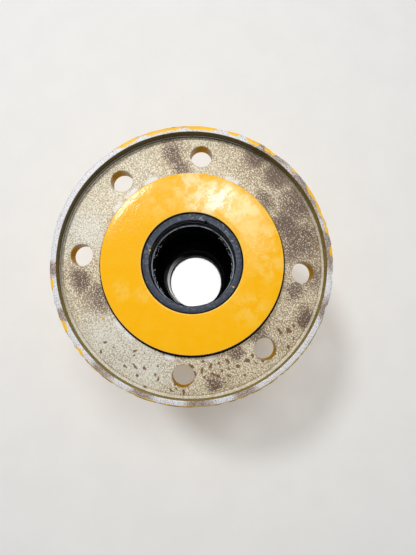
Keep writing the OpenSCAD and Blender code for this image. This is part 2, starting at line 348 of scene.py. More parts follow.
def rimCorners(flangeR, side):
    s = rimSizes
    lipR = flangeR - s["lipW"]
    reliefR = lipR - s["reliefAt"]
    collarFloor = lipTop - s["collarBoreDepth"]
    seat = lipTop - s["sealFloorDepth"]
    return facing([
        (s["waistR"], s["waistHalf"], 5.0),
        (s["treadR"], s["waistHalf"] + s["shoulder"], 2.5),
        (s["treadR"], flangeBack, 2.0),
        (flangeR, flangeBack, 2.6),
        (flangeR, lipTop, 2.2),
        (lipR, lipTop, 0.5),
        (lipR, recessFloor, 0.5),
        (reliefR + s["reliefHalf"], recessFloor, 0.3),
        (reliefR, recessFloor - s["relief"], 0.4),
        (reliefR - s["reliefHalf"], recessFloor, 0.3),
        (s["collarBoreR"], recessFloor, 0.6),
        (s["collarBoreR"], collarFloor, 0.5),
        (s["sealBoreR"], collarFloor, 0.5),
        (s["sealBoreR"], lipTop - s["sealBoreDepth"], 0.5),
        (s["toricSeatR"], lipTop - s["toricSeatDepth"], 0.5),
        (s["toricSeatR"], seat, 0.5),
        (s["bushSeatR"], seat, 1.0),
        (s["bushSeatR"], s["bushEndZ"], 0.3),
        (s["oilRoomR"], s["bushEndZ"] - s["oilRoomStep"], 0.8),
    ], side)


def rimWear(radius, height, angle):
    # Knocks along the flange's outer corners and the uneven skin of the forging between the flanges
    s, w = rimSizes, wearSizes
    ring = Vector((math.cos(angle), math.sin(angle), 0))
    outer = s["flangeR"] if height > 0 else s["plainR"]
    nearEdge = radius > outer - w["edgeReach"]
    edge = max(0.0, 1 - (outer - radius) / w["edgeReach"]) if nearEdge else 0.0
    if edge and abs(height) > lipTop - w["lipZone"]:
        dents = noise.noise(ring * 7.5 + Vector((0, 0, height * 0.03)))
        chips = noise.noise(ring * 31 + Vector((4, 0, height * 0.08)))
        beaten = 1 + w["beaten"] * max(0.0, math.cos(angle - w["beatenAt"]))
        depth = w["least"] + w["dent"] * max(0.0, dents) + w["chip"] * beaten * max(0.0, chips)
        radius -= edge * depth
    elif radius > s["waistR"] - 1 and abs(height) < flangeBack - 1:
        skin = noise.noise(Vector((ring.x * radius, ring.y * radius, height)) * 0.09)
        radius -= w["forged"] + w["forgedRough"] * skin
    elif radius > outer - 0.5:
        skin = noise.noise(Vector((ring.x * radius, ring.y * radius, height)) * 0.07)
        radius -= w["turned"] + w["turnedRough"] * skin
    return radius, height


def boltRowTree():
    # Six chamfered holes, three on each side of the X axis, cut out of the flange
    tree, given, end = newTree("bolt rows", boltRows)
    size = given.outputs
    index = treeNode(tree, "GeometryNodeInputIndex").outputs[0]

    def maths(how, a, b=0.0):
        return treeNode(tree, "ShaderNodeMath", {0: a, 1: b}, operation=how).outputs[0]

    points = treeNode(tree, "GeometryNodeMeshLine", {"Count": 6}).outputs[0]
    row = maths("FLOOR", maths("DIVIDE", index, 3.0))
    step = maths("SUBTRACT", maths("MODULO", index, 3.0), 1.0)
    pitch = maths("RADIANS", size["Pitch"])
    angle = maths("ADD", maths("MULTIPLY", row, math.pi), maths("MULTIPLY", step, pitch))
    across = treeNode(tree, "ShaderNodeCombineXYZ", {
        0: maths("MULTIPLY", maths("COSINE", angle), size["Circle Radius"]),
        1: maths("MULTIPLY", maths("SINE", angle), size["Circle Radius"]),
        2: size["Top"]})
    placed = treeNode(tree, "GeometryNodeSetPosition", {"Geometry": points, "Position": across.outputs[0]})
    drill = treeNode(tree, "GeometryNodeMeshCylinder", {
        "Vertices": 64, "Radius": size["Hole Radius"], "Depth": maths("MULTIPLY", size["Depth"], 2.0)})
    sink = treeNode(tree, "GeometryNodeMeshCone", {
        "Vertices": 64, "Radius Bottom": size["Hole Radius"],
        "Radius Top": maths("ADD", size["Hole Radius"], maths("MULTIPLY", size["Chamfer"], 2.0)),
        "Depth": maths("MULTIPLY", size["Chamfer"], 2.0)})
    down = treeNode(tree, "ShaderNodeCombineXYZ", {2: maths("MULTIPLY", size["Chamfer"], -1.0)})
    lowered = treeNode(tree, "GeometryNodeTransform", {
        "Geometry": sink.outputs["Mesh"], "Translation": down.outputs[0]})
    cutter = treeNode(tree, "GeometryNodeMeshBoolean", operation="UNION", solver="EXACT")
    tree.links.new(drill.outputs["Mesh"], cutter.inputs[1])
    tree.links.new(lowered.outputs[0], cutter.inputs[1])
    holes = treeNode(tree, "GeometryNodeInstanceOnPoints", {
        "Points": placed.outputs[0], "Instance": cutter.outputs[0]})
    solidHoles = treeNode(tree, "GeometryNodeRealizeInstances", {0: holes.outputs[0]})
    drilled = treeNode(tree, "GeometryNodeMeshBoolean", operation="DIFFERENCE", solver="EXACT")
    tree.links.new(given.outputs["Geometry"], drilled.inputs[0])
    tree.links.new(solidHoles.outputs[0], drilled.inputs[1])
    closeTree(tree, end, drilled.outputs[0], size["Finish"])
    return tree


def makeRim(finish):
    outline = roundedOutline(
        rimCorners(rimSizes["flangeR"], 1) + rimCorners(rimSizes["plainR"], -1), longest=5.0)
    blank = turnedPiece("rimShell", outline, rimSizes["segments"], rimWear)
    metres = {label: value if label == "Pitch" else value * mm for label, value in boltRows.items()}
    drilled = runTree(blank, boltRowTree(), metres, finish)
    settle(drilled, finish, "rim", "rim_steel", "roller_rim")
    print("rim made:", len(drilled.data.polygons), "faces")


# Collars
collarSizes = {
    "outerR": collarHigh.x / mm, "boreR": 45.0, "plate": 10.0, "skirtR": 75.0, "skirtEnd": 21.8,
    "sleeveR": 60.0, "sleeveEnd": 28.0, "tubeR": 54.0, "tubeEnd": 8.0, "segments": 256,
}


def collarCorners():
    s = collarSizes
    return [
        (s["boreR"], collarTop, 1.1),
        (s["outerR"], collarTop, 0.9),
        (s["outerR"], collarTop - s["skirtEnd"], 0.6),
        (s["skirtR"], collarTop - s["skirtEnd"], 0.4),
        (s["skirtR"], collarTop - s["plate"], 0.8),
        (s["sleeveR"], collarTop - s["plate"], 0.8),
        (s["sleeveR"], collarTop - s["sleeveEnd"], 0.5),
        (s["tubeR"], collarTop - s["sleeveEnd"], 0.3),
        (s["tubeR"], collarTop - s["tubeEnd"], 0.0),
        (s["boreR"], collarTop - s["tubeEnd"], 0.0),
    ]


def makeCollars(finish):
    outer = turnedPiece("collarOuter", roundedOutline(collarCorners(), 8.0), collarSizes["segments"])
    settle(outer, finish, "axle", "collar_paint", "end_collar_outer")
    refinish("end_collar_inner", finish)
    print("collars made")


# Seal and bore
# Each groove is given as four heights above the seal's foot: its start, its floor's two ends, its end
sealSizes = {
    "boreR": 38.0, "seatR": 44.3, "drop": 3.0, "length": 25.0,
    "relief": 0.9, "grooveDeep": 2.0, "lipStart": 21.5,
    "grooves": ((6.3, 6.6, 10.2, 10.6), (14.6, 15.0, 18.4, 18.8)),
    "nickAt": 121.5, "nickDeep": 2.4, "nickWide": 2.6, "segments": 360,
}
sealTop = collarTop - sealSizes["drop"]


def sealCorners():
    s = sealSizes
    low = sealTop - s["length"]
    openR, grooveR = s["boreR"] + s["relief"], s["boreR"] + s["grooveDeep"]
    corners = [
        (s["boreR"], sealTop, 1.0), (s["seatR"], sealTop, 0.7), (s["seatR"], low, 0.3), (openR, low, 0.3)]
    for start, floorStart, floorEnd, end in s["grooves"]:
        corners += [(openR, low + start, 0.4), (grooveR, low + floorStart, 0.8),
                    (grooveR, low + floorEnd, 0.8), (openR, low + end, 0.4)]
    return corners + [(s["boreR"], low + s["lipStart"], 0.5)]


def sealWear(radius, height, angle):
    # A short cut in the outer seal's lip, and a bore that is not quite round
    s = sealSizes
    away = abs(math.degrees(angle) - s["nickAt"])
    if radius < s["boreR"] + 3.0 and height > sealTop - 4:
        radius += max(0.0, 1 - away / s["nickWide"]) * s["nickDeep"]
    if radius < s["boreR"] + 1.2:
        radius += 0.12 + 0.1 * noise.noise(Vector((math.cos(angle) * 3, math.sin(angle) * 3, height * 0.2)))
    return radius, height


def makeSeals(finish):
    for side, label in ((1, "Outer"), (-1, "Inner")):
        outline = roundedOutline(facing(sealCorners(), side))
        seal = turnedPiece("dustSeal" + label, outline, sealSizes["segments"], sealWear)
        settle(seal, finish, "axle", "seal_rubber", "dust_seal_" + label.lower())
    print("dust seals made")


# Bushes and the tube between them
boreSizes = {
    "boreR": 38.0, "bushSeatR": 45.0, "bushTop": 104.0, "bushLow": 65.0, "chamfer": 1.0, "segments": 192,
    "oilGroove": 84.5, "grooveHalf": 2.2, "grooveFloorHalf": 1.8, "grooveDeep": 2.0,
}


def bushCorners():
    s = boreSizes
    wideR, grooveR, middle = s["boreR"] + s["chamfer"], s["boreR"] + s["grooveDeep"], s["oilGroove"]
    return [
        (wideR, s["bushTop"], 0.2),
        (s["bushSeatR"], s["bushTop"], 0.8),
        (s["bushSeatR"], s["bushLow"], 0.6),
        (wideR, s["bushLow"], 0.2),
        (s["boreR"], s["bushLow"] + s["chamfer"], 0.3),
        (s["boreR"], middle - s["grooveHalf"], 0.4),
        (grooveR, middle - s["grooveFloorHalf"], 0.6),
        (grooveR, middle + s["grooveFloorHalf"], 0.6),
        (s["boreR"], middle + s["grooveHalf"], 0.4),
        (s["boreR"], s["bushTop"] - s["chamfer"], 0.3),
    ]


def makeBore(finish):
    for side, label in ((1, "Outer"), (-1, "Inner")):
        outline = roundedOutline(facing(bushCorners(), side))
        bush = turnedPiece("pinBush" + label, outline, boreSizes["segments"])
        settle(bush, finish, "axle", "bush_bronze", "pin_bush_" + label.lower())
    refinish("axle_tube", finish)
    print("bore made")


# Finishes
# Stains, scuffs and paint left on the bolt flange, each as (degrees from X, radius mm, reach mm)
flangeMarks = {
    "brown": [
        (109, 115, 17), (96, 114, 21), (80, 111, 27), (62, 101, 30), (72, 92, 22), (90, 88, 15), (43, 107, 19),
        (24, 112, 14), (250, 85, 22), (238, 100, 14), (150, 107, 15), (148, 97, 10), (145, 87, 12),
        (35, 95, 15), (2, 86, 12), (-14, 88, 10), (-30, 108, 12)],
    "tan": [(110, 100, 62), (68, 100, 60), (20, 100, 64), (-20, 100, 56), (238, 98, 36), (150, 100, 30)],
    "white": [(275, 104, 46), (295, 98, 36), (214, 104, 30), (-66, 108, 26)],
    "rust": [
        (-48, 97, 30), (-60, 105, 24), (-28, 103, 30), (-6, 108, 26), (12, 106, 24), (-72, 95, 22),
        (-84, 106, 12)],
    "scuff": [
        (166, 85, 12), (180, 84.5, 12), (192, 84.5, 11), (270, 87, 11), (278, 85.5, 9), (306, 84.5, 9),
        (116, 84, 8), (112, 85, 6), (330, 84, 8)],
    "lipBrown": [
        (80, 122, 40), (104, 122, 30), (55, 122, 30), (30, 122, 17), (232, 122, 11), (252, 122, 10),
        (-38, 122, 20), (-18, 122, 14), (-62, 122, 15), (-80, 122, 15)],
    "lipPaint": [
        (152, 124, 30), (136, 124, 24), (168, 124, 16), (122, 124, 8), (113, 121.5, 10), (105, 122, 9)],
    "edgePaint": [
        (80, 125, 13), (72, 125, 16), (64, 125, 11), (92, 125, 6), (54, 125, 8), (238, 125, 8), (256, 125, 8),
        (268, 125, 6)],
}

# Places of painted glare on the collar's face: strength, then (degrees from X, radius mm, reach mm)
glareMarks = [
    (1.0, (117, 62, 25)), (0.7, (128, 56, 28)), (0.6, (140, 72, 26)), (0.45, (100, 66, 30)),
    (0.28, (74, 66, 30)), (0.22, (50, 68, 26)), (0.18, (12, 64, 22)), (0.18, (251, 66, 12)),
    (0.18, (264, 53, 9)), (0.22, (165, 62, 28)),
]


class RimFinish(Finish):
    # The places and grains that the rim's steel and paint share
    def __init__(self, name):
        super().__init__(name)
        s = rimSizes
        self.x, self.y, self.z, self.radius = self.polar()
        self.height = self.maths("ABSOLUTE", self.z)
        onBoltEnd = self.fadeMm(self.z, -1, 1)
        edgeR = self.onto(onBoltEnd, (s["flangeR"] - s["plainR"]) * mm, s["plainR"] * mm)
        self.inward = self.minus(edgeR, self.radius)      # how far in from the flange's edge
        self.sand = self.grain(1.25, 2.0, 0.6)
        self.sandFine = self.grain(0.7, 2.0, 0.6)
        self.sandSoft = self.grain(2.6, 3.0, 0.6)
        self.broad = self.grain(26.0, 3.0, 0.5)

        # A place that runs long round the axis, for turning marks and rubbed paint
        flat = self.add("ShaderNodeCombineXYZ", {0: self.x, 1: self.y}).outputs[0]
        along = self.vector("MULTIPLY", self.vector("NORMALIZE", flat), (0.11, 0.11, 0.0))
        rise = self.times(self.plus(self.radius, self.z), 4.0)
        self.around = self.vector("ADD", along, self.add("ShaderNodeCombineXYZ", {2: rise}).outputs[0])
        self.streak = self.grain(3.6, 4.0, 0.6, self.around)

        self.stained = self.bent(13.0, 16.0)
        # The side on which painted shade and shadow fall by the lip
        self.shadeSide = self.side(-0.95, 0.3, -20, 90)
        # The side on which the flange's top edge gets painted shade
        self.edgeShadeSide = self.side(0.76, -0.65, 0, 90)

    def side(self, alongX, alongY, low, high):
        # Grows towards one side of the roller, in mm along a direction
        return self.fadeMm(self.plus(self.times(self.x, alongX), self.times(self.y, alongY)), low, high)


def recessSteel(f):
    # Pale sandy steel under dark specks, which crowd together in the browned patches
    brown = f.marks("brown", recessFloor, f.stained)
    tan = f.times(f.marks("tan", recessFloor, f.stained), 0.8)
    white = f.times(f.marks("white", recessFloor, f.stained), 0.75)
    steel = f.mix(f.fade(f.sandSoft, 0.40, 0.64), shade(220, 211, 188), shade(202, 188, 158))
    steel = f.mix(tan, steel, shade(212, 194, 158))
    steel = f.mix(white, steel, shade(222, 222, 214))
    steel = f.mix(f.fade(f.sand, 0.49, 0.40), steel, shade(240, 234, 215))
    steel = f.mix(f.times(brown, 0.38), steel, shade(176, 148, 120))
    crowd = f.onto(tan, 0.035, f.plus(f.times(brown, 0.085), f.times(f.broad, 0.2)))
    speck = f.fade(f.plus(f.onto(f.sand, 0.6, crowd), f.times(f.sandFine, 0.4)), 0.605, 0.675)
    depth = f.onto(brown, 0.12, f.onto(tan, 0.22, 0.62))
    speckTone = f.mix(brown, shade(146, 122, 92), shade(92, 69, 57))
    return f.mix(f.times(speck, depth), steel, speckTone)


def recessMarks(f, steel):
    # Rust spots, flecks of paint, bright scuffs by the collar, a painted shade line along the relief groove, a
    # painted highlight by the lip's corner on its lit side, and a painted shadow in the corner under the lip on
    # its shaded side
    drawn = f.vector("MULTIPLY", f.stained, (0.8, 1.15, 1.0))
    spots = f.fade(f.plus(f.cells(7.0, drawn), f.times(f.sandSoft, 0.35)), 0.38, 0.45, (1.0, 0.0))
    rusted = f.times(spots, f.fade(f.marks("rust", recessFloor), 0.1, 0.35))
    steel = f.mix(f.times(rusted, 0.92), steel, shade(118, 80, 44))
    flecks = f.fade(f.cells(22.0), 0.035, 0.05, (1.0, 0.0))
    steel = f.mix(flecks, steel, shade(226, 170, 40))
    rubs = f.grain(3.6, 5.0, 0.65, f.vector("MULTIPLY", f.around, (2.2, 2.2, 3.0)))
    scuff = f.fade(f.plus(f.times(f.marks("scuff", recessFloor), 0.3), rubs), 0.66, 0.76)
    scuff = f.times(scuff, f.fadeMm(f.radius, 86.0, 89.5, (0.85, 0.0)))
    steel = f.mix(scuff, steel, shade(240, 241, 242))
    grooveIn = rimSizes["lipW"] + rimSizes["reliefAt"]
    # Painted shade along the relief groove
    groove = f.fadeMm(f.apart(f.inward, grooveIn * mm), 0.3, 0.9, (1.0, 0.0))
    steel = f.mix(f.times(groove, 0.35), steel, shade(150, 136, 118))
    # Painted highlight by the lip's corner, left off on the shaded side
    corner = f.fadeMm(f.apart(f.inward, 7.0 * mm), 0.5, 1.0, (0.6, 0.0))
    steel = f.mix(f.times(corner, f.minus(1.0, f.shadeSide)), steel, shade(214, 210, 190))
    # Painted shadow in the corner under the lip, on the shaded side
    cornerShadow = f.times(f.fadeMm(f.inward, 6.9, 7.9, (0.9, 0.0)), f.shadeSide)
    return f.mix(cornerShadow, steel, shade(60, 52, 27))


def lipSteel(f):
    # Brighter steel with a blue cast, browned by specks
    brown = f.marks("lipBrown", lipTop, f.stained)
    steel = f.mix(f.fade(f.sandFine, 0.42, 0.62), shade(234, 235, 239), shade(198, 196, 200))
    steel = f.mix(f.times(brown, 0.7), steel, shade(176, 154, 134))
    crowd = f.plus(f.times(brown, 0.09), f.times(f.broad, 0.14))
    sand = f.plus(f.times(f.sand, 0.5), f.times(f.sandFine, 0.5))
    speck = f.fade(f.plus(sand, crowd), 0.60, 0.68)
    return f.mix(f.times(speck, 0.8), steel, f.mix(brown, shade(150, 142, 142), shade(108, 90, 82)))


def paintLeft(f, paintShare, edgeShare):
    # Ragged paint that is left along the lip's outside
    reach = f.plus(f.times(paintShare, 4.2 * mm), f.times(edgeShare, 3.0 * mm))
    rag = f.times(f.minus(f.streak, 0.5), f.onto(paintShare, 8 * mm, 3.0 * mm))
    # The paint strip reaches further on the side where its edge is painted in shade
    reach = f.plus(f.onto(f.edgeShadeSide, 1.3 * mm, reach), f.plus(rag, 0.5 * mm))
    return f.fadeMm(f.minus(f.inward, reach), -0.1, 0.15, (1.0, 0.0))


def rimPaint(f, clean):
    # Yellow paint with dirt and chips, wear on the treads, and grime with painted shade along the bolt flange's
    # top edge, darker on one side
    paint = f.mix(f.fade(f.grain(9.0, 5.0, 0.65), 0.42, 0.72), shade(255, 200, 8), shade(238, 180, 22))
    dirt = f.fade(f.grain(2.2, 5.0, 0.7), 0.55, 0.8)
    paint = f.mix(f.times(dirt, 0.35), paint, shade(140, 104, 44))
    tread = f.fadeMm(f.apart(f.radius, 87.2 * mm), 0.9, 1.3, (1.0, 0.0))
    edge = f.fadeMm(f.inward, 0.4, 2.0, (1.0, 0.0))
    wear = f.plus(f.times(tread, 0.075), f.times(edge, 0.05))
    chipped = f.fade(f.plus(f.onto(f.streak, 0.45, wear), f.times(f.broad, 0.55)), 0.615, 0.645)
    rubbed = f.mix(f.fade(f.sandSoft, 0.4, 0.65), shade(164, 158, 148), shade(112, 92, 74))
    paint = f.mix(chipped, paint, rubbed)
    nearLip = f.fadeMm(f.onto(f.streak, 5 * mm, f.height), lipTop - 4, lipTop - 1)
    outside = f.times(f.fadeMm(f.radius, 122.5, 124.5), nearLip)
    # Grime and painted shade along the flange's top outer edge, darker on the shaded side
    edgeGrimeAndShade = f.times(f.times(outside, f.minus(1.0, clean)), f.fade(f.streak, 0.36, 0.52, (0.55, 0.95)))
    return f.mix(edgeGrimeAndShade, paint, f.mix(f.edgeShadeSide, shade(92, 78, 40), shade(66, 55, 32)))


def lipWall(f, colour):
    # Olive dirt on the wall between the recess and the lip, with painted shade darkening it on one side
    wall = f.fadeMm(f.apart(f.inward, rimSizes["lipW"] * mm), 0.12, 0.3, (1.0, 0.0))
    wall = f.times(wall, f.within(f.height, recessFloor + 0.3, recessFloor + 0.7, lipTop - 0.5, lipTop - 0.2))
    olive = f.mix(f.fade(f.sandSoft, 0.4, 0.7), shade(150, 130, 44), shade(104, 88, 32))
    # Painted shade on the wall's shaded side
    olive = f.mix(f.times(f.shadeSide, 0.75), olive, shade(44, 38, 18))
    return f.mix(wall, colour, olive)


def rimFinish():
    f = RimFinish("rimFinish")
    paintShare = f.marks("lipPaint", lipTop)
    edgeShare = f.marks("edgePaint", lipTop)
    paint = rimPaint(f, f.maths("MAXIMUM", paintShare, edgeShare))
    onLip = f.fadeMm(f.inward, 6.3, 6.1)
    steel = f.mix(onLip, recessMarks(f, recessSteel(f)), lipSteel(f))
    ragged = f.times(f.minus(f.sandSoft, 0.5), 0.8 * mm)
    bare = f.fadeMm(f.plus(f.height, ragged), recessFloor - 1.3, recessFloor - 0.9)
    bareLip = f.times(bare, f.minus(1.0, f.times(paintLeft(f, paintShare, edgeShare), onLip)))
    colour = lipWall(f, f.mix(bareLip, paint, steel))

    # Darker paint in the bolt holes, and the wall round the collar's bore made near black
    inPlate = f.times(f.fadeMm(f.height, flangeBack + 0.1, flangeBack + 0.4), f.fadeMm(f.z, 0, 1))
    inHole = f.times(f.times(f.within(f.radius, 87.8, 88.2, 111.5, 111.8), inPlate), f.minus(1.0, bare))
    colour = f.mix(f.times(inHole, 0.75), colour, shade(138, 106, 10))
    nearBlackBoreWall = f.within(f.height, 60.0, 61.0, recessFloor - 0.4, recessFloor - 0.1)
    nearBlackBoreWall = f.times(nearBlackBoreWall, f.fadeMm(f.radius, 84.2, 84.6, (1.0, 0.0)))
    colour = f.mix(nearBlackBoreWall, colour, shade(24, 20, 14))

    relief = f.onto(f.streak, 0.5, f.plus(f.sand, f.sandSoft))
    return f.finish(Base_Color=colour, Roughness=f.onto(bareLip, 0.14, 0.4), Metallic=f.times(bareLip, 0.15),
                    Normal=f.bump(relief, 0.4, 0.3))


def collarPaint():
    # Glossy yellow with pale clouds of painted glare that are strongest on one side
    f = Finish("collarPaint")
    z, radius = f.polar()[2:]
    height = f.maths("ABSOLUTE", z)
    wander = f.bent(9.0, 12.0)
    cloud = f.grain(11.0, 5.0, 0.62)
    strokes = f.grain(3.0, 4.0, 0.6, f.vector("MULTIPLY", wander, (1.0, 0.45, 1.0)))
    soft = f.fade(f.plus(f.times(cloud, 0.7), f.times(strokes, 0.4)), 0.42, 0.70)
    glare = f.most([f.times(f.spot(*place, collarTop, wander), share) for share, place in glareMarks])
    glareShare = f.times(f.maths("POWER", glare, 0.8), f.fade(soft, 0.0, 0.8))
    colour = f.mix(f.times(soft, 0.16), shade(255, 186, 0), shade(255, 206, 66))
    # Pale clouds of painted glare, laid over the paint as colour
    colour = f.mix(glareShare, colour, f.mix(glare, shade(255, 222, 96), shade(255, 246, 214)))
    rub = f.fade(f.grain(5.0, 5.0, 0.7), 0.66, 0.76)
    colour = f.mix(f.times(rub, 0.35), colour, shade(196, 142, 30))
    # Painted highlight along the collar's rounded bore edge and outer edge
    edge = f.maths("MAXIMUM", f.fadeMm(radius, 46.2, 45.4), f.fadeMm(radius, 79.7, 80.3))
    colour = f.mix(f.times(edge, 0.4), colour, shade(255, 224, 130))
    # Painted shade: the collar's bore wall near black, and the collar darker below its face
    shadedBoreWall = f.times(f.fadeMm(radius, 45.35, 45.15), f.fadeMm(height, collarTop - 0.7, collarTop - 1.0))
    colour = f.mix(shadedBoreWall, colour, shade(16, 14, 12))
    shadeBelowTop = f.times(f.fadeMm(radius, 81.0, 80.4), f.fadeMm(height, collarTop - 1.0, collarTop - 1.8))
    colour = f.mix(f.times(shadeBelowTop, 0.75), colour, shade(40, 32, 14))
    peel = f.onto(f.grain(15.0, 3.0, 0.55), 1.6, f.grain(2.1, 3.0, 0.55))
    normal = f.bump(peel, 1.0, 0.13)
    return f.finish(Base_Color=colour, Roughness=f.fade(soft, 0.0, 1.0, (0.36, 0.5)), Normal=normal,
                    Specular_IOR_Level=0.05, Coat_Weight=0.42, Coat_Roughness=0.13, Coat_Normal=normal)


def sealFinish():
    # Dark rubber with grey scuffs and a painted sheen in a few places on its face, painted shade near black in
    # its bore and below its face, with two flecks of paint
    f = Finish("sealFinish")
    z, radius = f.polar()[2:]
    scuff = f.fade(f.grain(3.0, 6.0, 0.8), 0.5, 0.68)
    # Grey scuffs, stronger in a few places where they also stand for a painted sheen
    scuffAndSheenPlaces = [(139, 41, 20), (78, 41, 18), (96, 41, 14), (220, 41, 14)]
    scuffAndSheen = f.most([f.spot(*place, sealTop) for place in scuffAndSheenPlaces])
    share = f.times(f.onto(scuffAndSheen, 0.65, 0.3), scuff)
    colour = f.mix(share, shade(58, 64, 76), shade(164, 170, 182))
    # Painted shade: the seal near black in its bore and below its face
    shadedSealBore = f.fadeMm(radius, 38.9, 38.5)
    shadeBelowTop = f.fadeMm(f.maths("ABSOLUTE", z), sealTop - 1.1, sealTop - 1.6)
    colour = f.mix(f.maths("MAXIMUM", shadedSealBore, shadeBelowTop), colour, shade(5, 5, 6))
    fleck = f.most([f.spot(213, 38.9, 1.2, sealTop), f.spot(19, 42, 1.2, sealTop)])
    colour = f.mix(f.fade(fleck, 0.3, 0.5), colour, shade(214, 158, 30))
    return f.finish(Base_Color=colour, Roughness=f.fade(scuff, 0.0, 1.0, (0.5, 0.7)), Specular_IOR_Level=0.1,
                    Normal=f.bump(f.grain(1.2, 4.0), 0.3, 0.12))


def boreFinish():
    # Black film of grease, with faint rings of painted highlight and a painted highlight along the chamfers of
    # the bushes
    f = Finish("boreFinish")
    z, radius = f.polar()[2:]
    height = f.maths("ABSOLUTE", z)
    ringPitch = 5.6
    film = f.fade(f.grain(4.0, 5.0, 0.65), 0.42, 0.75)
    wave = f.maths("SINE", f.times(height, 2 * math.pi / (ringPitch * mm)))
    # Faint rings of painted highlight on the black film
    ringHighlights = f.times(f.fade(wave, 0.55, 0.95), f.fade(f.grain(9.0, 3.0), 0.4, 0.6))
    tone = f.mix(film, shade(12, 12, 13), shade(30, 31, 33))
    tone = f.mix(ringHighlights, tone, shade(60, 63, 68))
    gritty = f.most([f.spot(190, 38, 24, 96), f.spot(235, 38, 12, 97)])
    crumbs = f.times(f.fade(f.grain(1.6, 3.0, 0.6), 0.58, 0.66), gritty)
    tone = f.mix(crumbs, tone, shade(128, 98, 46))
    bushTop = boreSizes["bushTop"]
    # Painted highlight along the bushes' chamfers
    bright = f.times(f.fadeMm(height, bushTop - 0.85, bushTop - 0.7), f.fadeMm(radius, 39.4, 39.2))
    bright = f.times(bright, f.fade(f.grain(11.0, 3.0), 0.36, 0.5, (0.35, 1.0)))
    tone = f.mix(bright, tone, shade(196, 204, 216))
    return f.finish(Base_Color=tone, Roughness=f.fade(film, 0.0, 1.0, (0.28, 0.5)),
                    Metallic=f.times(bright, 0.5), Specular_IOR_Level=0.0, Normal=f.bump(film, 0.3, 0.2),
                    Coat_Weight=f.spot(262, 38, 60, -90), Coat_Roughness=0.08)


def oiledMetal(name, colour, roughness, metal):
    f = Finish(name)
    film = f.fade(f.grain(7.0, 5.0, 0.65), 0.4, 0.75)
    fine = f.grain(1.0, 4.0, 0.6)
    tone = f.mix(film, shade(*colour), shade(*[channel * 0.6 for channel in colour]))
    gloss = f.fade(fine, 0.3, 0.7, (roughness, roughness + 0.15))
    return f.finish(Base_Color=tone, Roughness=gloss, Metallic=metal,
                    Normal=f.bump(f.plus(film, fine), 0.15, 0.12))


finishes = {
    "rim": rimFinish(), "collar": collarPaint(), "seal": sealFinish(), "bore": boreFinish(),
    "ground": oiledMetal("groundSteel", (176, 178, 182), 0.25, 0.8),
    "bronze": oiledMetal("bushBronze", (150, 112, 60), 0.3, 0.8),
    "copper": oiledMetal("washerCopper", (190, 118, 78), 0.3, 0.8),
    "rubber": oiledMetal("blackRubber", (30, 30, 32), 0.55, 0.0),
    "weld": oiledMetal("weldPaint", (238, 178, 22), 0.42, 0.0),
    "grease": oiledMetal("blackGrease", (26, 24, 20), 0.3, 0.0),
    # The oil drops' pale grey is a painted glint
    "oil": oiledMetal("oilDropGlints", (176, 182, 192), 0.08, 0.0),
}
print("finishes made:", len(finishes))


# Weld ripples, grease and oil, set out round the axis
weldSizes = {
    "Count": 150, "Ring Radius": 72.3, "Length": 3.1, "Width": 6.6, "Height": 1.0, "Spread": 0.5, "Seed": 3}
greaseSizes = {
    "Count": 210, "Ring Radius": 82.0, "Length": 1.7, "Width": 1.1, "Height": 1.05, "Spread": 0.5, "Seed": 8}
oilSizes = {
    "Count": 150, "Ring Radius": 37.9, "Length": 0.7, "Width": 0.75, "Height": 0.5, "Spread": 8.0, "Seed": 5}
greaseHeight, oilHeight = 119.9, 94.0
oilArcs = [(66, 34), (252, 20), (-30, 10), (205, 12)]      # middle and half width, in degrees


def onlyArcs(tree, points, arcs):
    # Drops the points that lie outside every arc
    def maths(how, a, b=0.0):
        return treeNode(tree, "ShaderNodeMath", {0: a, 1: b}, operation=how).outputs[0]

    place = treeNode(tree, "GeometryNodeInputPosition").outputs[0]
    flat = treeNode(tree, "ShaderNodeSeparateXYZ", {0: place}).outputs
    turn = maths("ARCTAN2", flat[1], flat[0])
    keep = 0.0
    for middle, half in arcs:
        near = maths("COSINE", maths("SUBTRACT", turn, math.radians(middle)))
        keep = maths("MAXIMUM", keep, maths("GREATER_THAN", near, math.cos(math.radians(half))))
    gone = maths("SUBTRACT", 1.0, keep)
    return treeNode(tree, "GeometryNodeDeleteGeometry", {"Geometry": points, "Selection": gone}).outputs[0]


